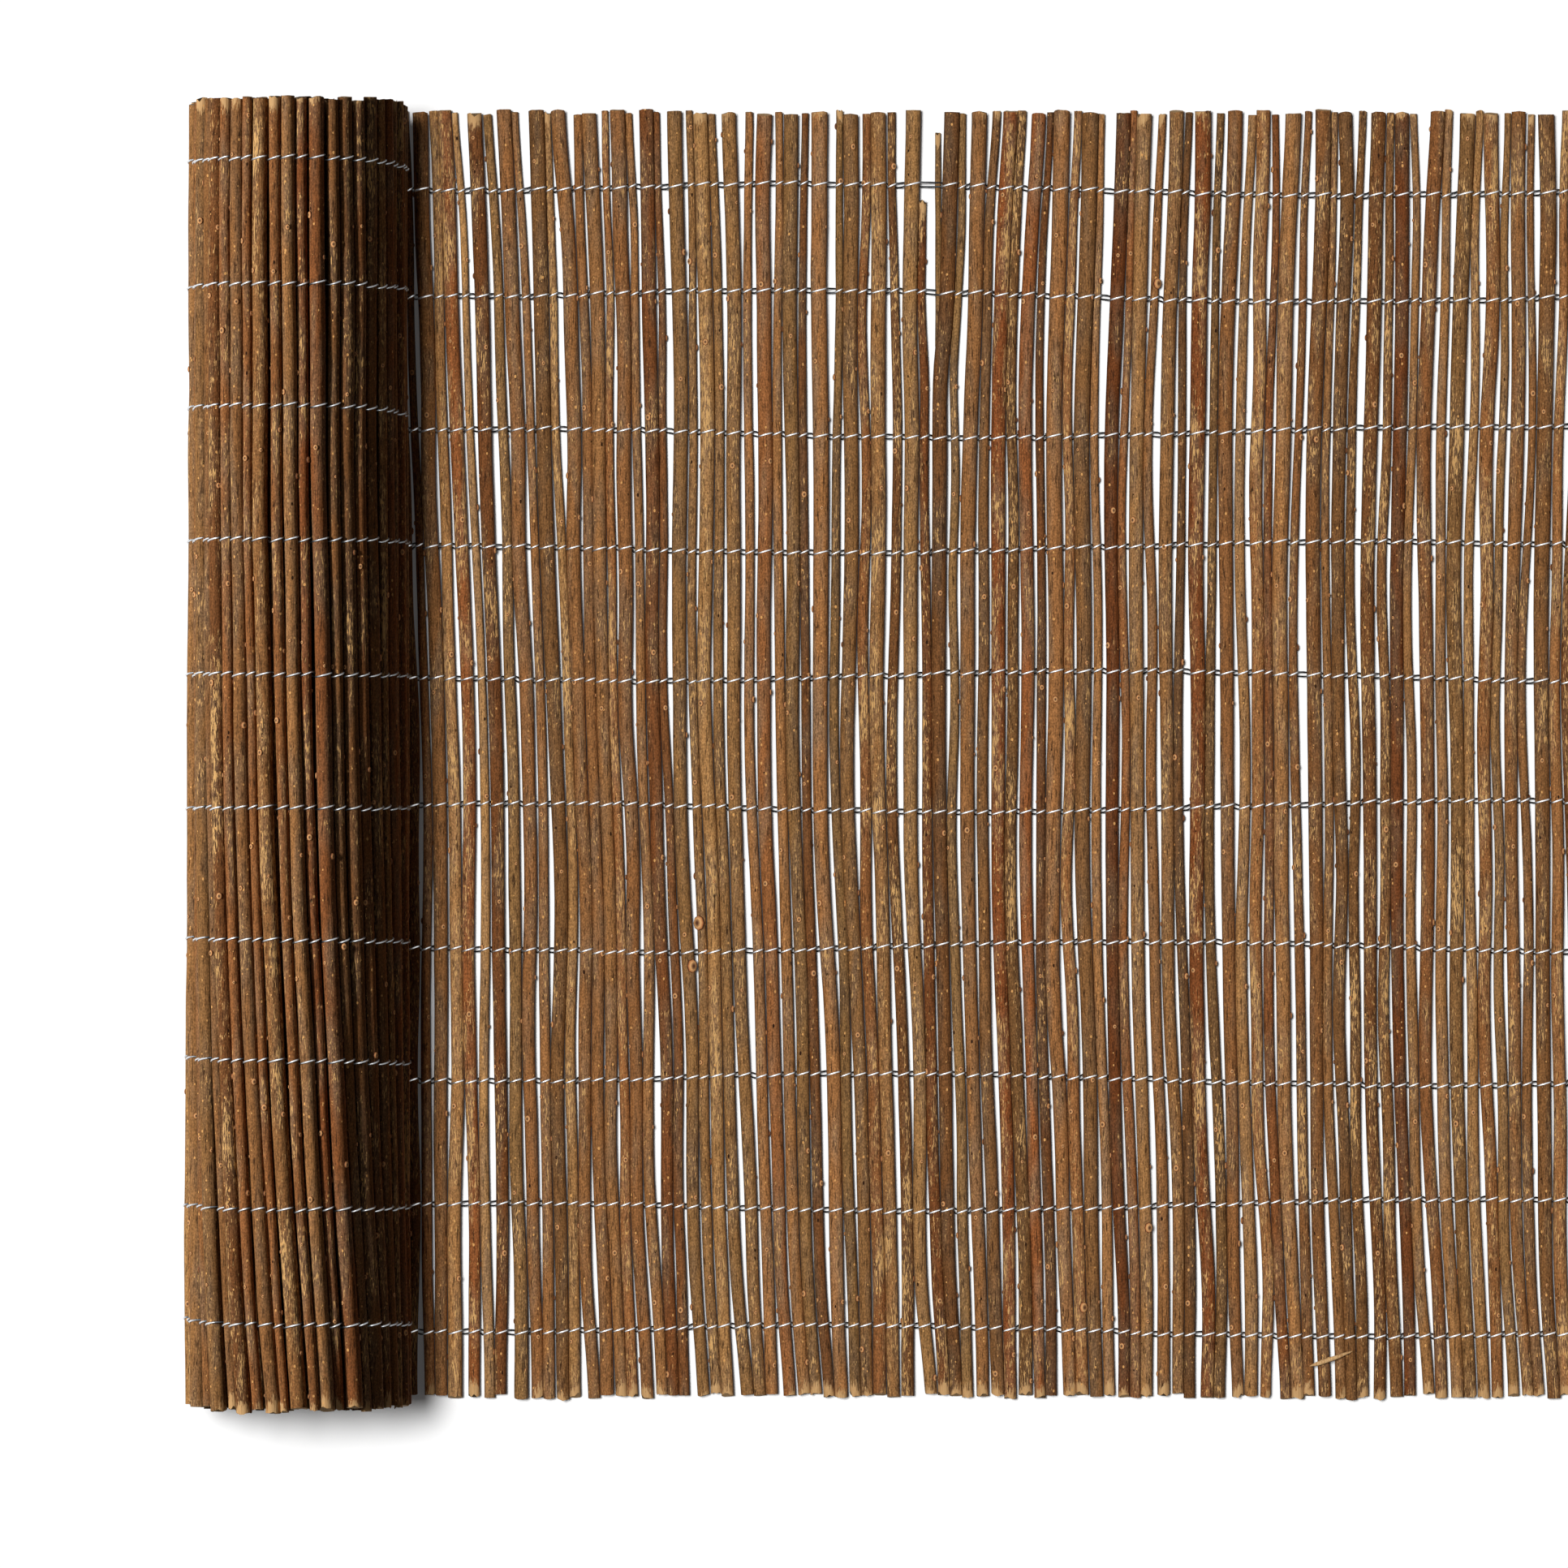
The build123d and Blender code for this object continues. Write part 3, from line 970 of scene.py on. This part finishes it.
sliverPiece = grow("torn_sliver", sliverMesh(), rodSweep, {
    "Sides": 8, "Lump Height": 0.0004, "Lump Size": (0.004, 0.004, 0.002), "Bark": woodMaterial})
dress(sliverPiece, "willow_bark")


# Floor, light and camera

studio = {
    "floorSize": 12.0,
    "floorColour": "#fafafa",
    "floorBounce": "#363636",  # the floor gives less light back than it shows
    "floorLift": 0.04,  # white that the camera adds to the floor
    "topPlace": (-3.1, 1.25, 14.0),  # over the mat, from the roll's side
    "topSize": 3.6,
    "topPower": 2180.0,
    "sidePlace": (-3.1, 0.4, 2.25),  # beside the roll, on the roll alone
    "sideSize": 0.5,
    "sidePower": 150.0,
    "shoulderPlace": (-1.7, 0.4, 3.4),  # higher, so that the far shoulder of the roll isn't lost
    "shoulderSize": 0.5,
    "shoulderPower": 6.0,
    "worldLight": 0.035,
}


def seenRays(tree):
    # Rays that show the background: to the camera, and in metal and glass
    rays = addNode(tree, "ShaderNodeLightPath").outputs
    gloss = reckon(tree, "MAXIMUM", rays["Is Glossy Ray"], rays["Is Transmission Ray"])
    return reckon(tree, "MAXIMUM", rays["Is Camera Ray"], gloss)


def studioFloor():
    material, tree = newMaterial("studio floor, matt white")
    seen = seenRays(tree)
    lift = reckon(tree, "MULTIPLY", seen, studio["floorLift"])
    colour = blend(tree, seen, linear(studio["floorBounce"]), linear(studio["floorColour"]))
    paint = addNode(tree, "ShaderNodeBsdfDiffuse", {"Color": colour})
    glow = addNode(tree, "ShaderNodeEmission", {"Strength": lift})
    both = addNode(tree, "ShaderNodeAddShader", {0: paint.outputs[0], 1: glow.outputs[0]})
    addNode(tree, "ShaderNodeOutputMaterial", {"Surface": both.outputs[0]})
    half = studio["floorSize"] / 2
    mesh = bpy.data.meshes.new("studio_floor")
    corners = [(-half, -half, 0), (half, -half, 0), (half, half, 0), (-half, half, 0)]
    mesh.from_pydata(corners, [], [(0, 1, 2, 3)])
    mesh.materials.append(material)
    floor = bpy.data.objects.new("studio_floor", mesh)
    bpy.context.collection.objects.link(floor)


def softLight(name, target, linked, state):
    lamp = bpy.data.lights.new(name + " light", "AREA")
    lamp.shape = "DISK"
    lamp.size = studio[name + "Size"]
    lamp.energy = studio[name + "Power"]
    light = bpy.data.objects.new(name + " light", lamp)
    light.location = studio[name + "Place"]
    light.rotation_euler = (Vector(target) - light.location).to_track_quat("-Z", "Y").to_euler()
    bpy.context.collection.objects.link(light)
    share = bpy.data.collections.new(name + " light on")
    for number, piece in enumerate(linked):
        share.objects.link(piece)
        share.collection_objects[number].light_linking.link_state = state
    light.light_linking.receiver_collection = share


def studioWorld():
    world = bpy.data.worlds.new("studio world")
    world.use_nodes = True
    tree = world.node_tree
    tree.nodes.clear()
    seen = seenRays(tree)
    dim = addNode(tree, "ShaderNodeBackground", {"Color": (1, 1, 1, 1), "Strength": studio["worldLight"]})
    white = addNode(tree, "ShaderNodeBackground", {"Color": (1, 1, 1, 1), "Strength": 1.0})
    mix = addNode(tree, "ShaderNodeMixShader", {0: seen, 1: dim.outputs[0], 2: white.outputs[0]})
    addNode(tree, "ShaderNodeOutputWorld", {"Surface": mix.outputs[0]})
    bpy.context.scene.world = world


def photoCamera():
    data = bpy.data.cameras.new("photo camera")
    half = picture["frameSize"] / 2
    x, y = fromPicture(half, half)
    data.sensor_width = 36.0
    width = picture["frameSize"] * picture["metresPerPixel"]
    data.lens = data.sensor_width * picture["cameraHeight"] / width
    data.clip_end = 100.0
    camera = bpy.data.objects.new("photo camera", data)
    camera.location = (x, y, picture["cameraHeight"])
    bpy.context.collection.objects.link(camera)
    bpy.context.scene.camera = camera


studioFloor()
rollPieces = [outerPiece, innerPiece, rolledBuds]
softLight("top", (0.1, 0, 0), rollPieces, "EXCLUDE")
for name in ("side", "shoulder"):
    softLight(name, (rollAxis[0], 0, rollAxis[1]), rollPieces, "INCLUDE")
studioWorld()
photoCamera()
bpy.context.scene.view_settings.view_transform = "Standard"
print("studio set")
